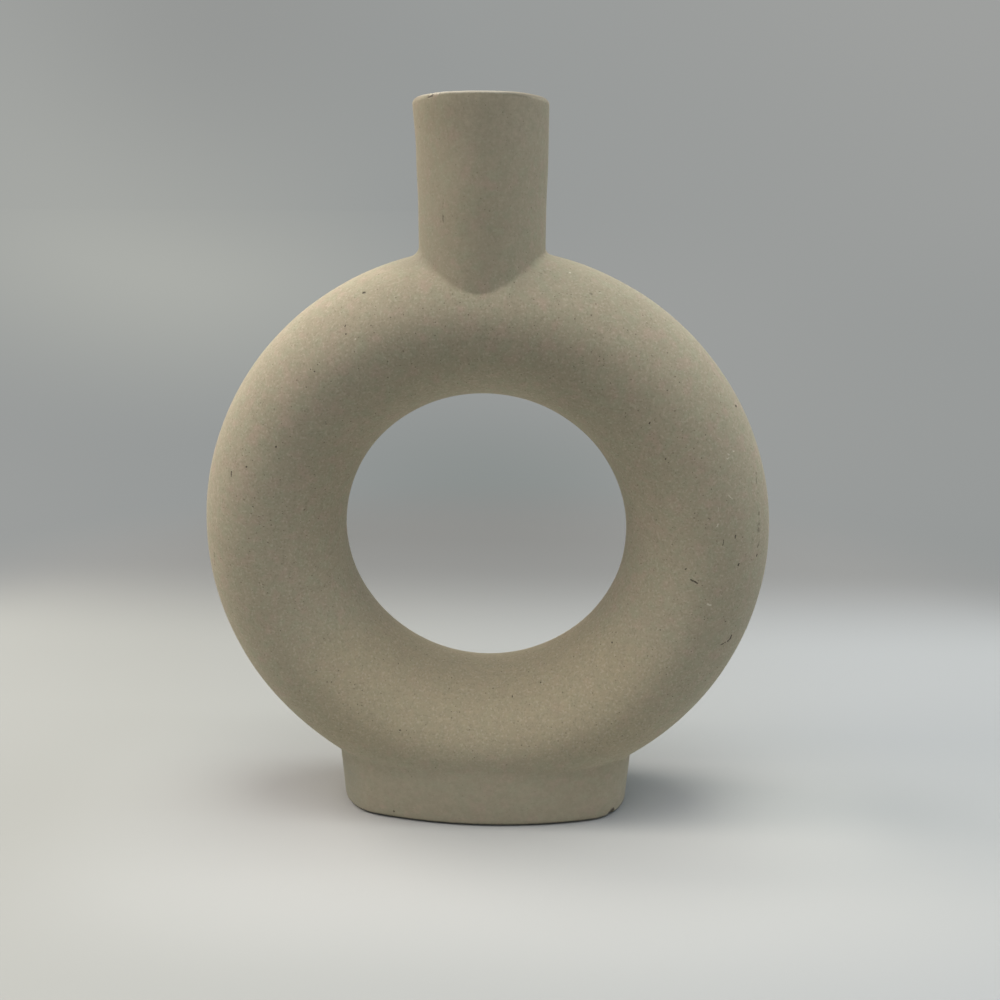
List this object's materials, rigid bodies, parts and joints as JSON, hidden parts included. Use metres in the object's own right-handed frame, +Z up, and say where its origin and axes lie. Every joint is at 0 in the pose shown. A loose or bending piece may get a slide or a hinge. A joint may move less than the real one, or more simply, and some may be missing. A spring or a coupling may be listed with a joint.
{
  "type": "donut vase",
  "caption": "Hollow ring-shaped stoneware vase with an open eye, a straight round neck for stems and a low oval foot that it stands on.",
  "frame": {"origin": "on the table under the centre of the ring, at the middle of the foot's lower face", "axes": "+Z up along the height, +X along the ring's width to the viewer's right, and the ring's eye opens along Y with the front facing -Y"},
  "size_m": [0.1994, 0.0494, 0.2525],
  "materials": {
    "stoneware": "matte, finely speckled sand colour",
    "joint_slip": "matte, smoothed flush",
    "inner_glaze": "glossy clear glaze over sand-coloured clay"
  },
  "bodies": {
    "root": {"ring_front_shell": "stoneware", "ring_back_shell": "stoneware", "ring_slip_seam": "joint_slip", "neck": "stoneware", "neck_slip_seam": "joint_slip", "foot_skirt": "stoneware", "foot_slip_seam": "joint_slip", "base_plate": "stoneware", "base_slip_seam": "joint_slip", "glaze_lining": "inner_glaze"}
  },
  "joints": []
}
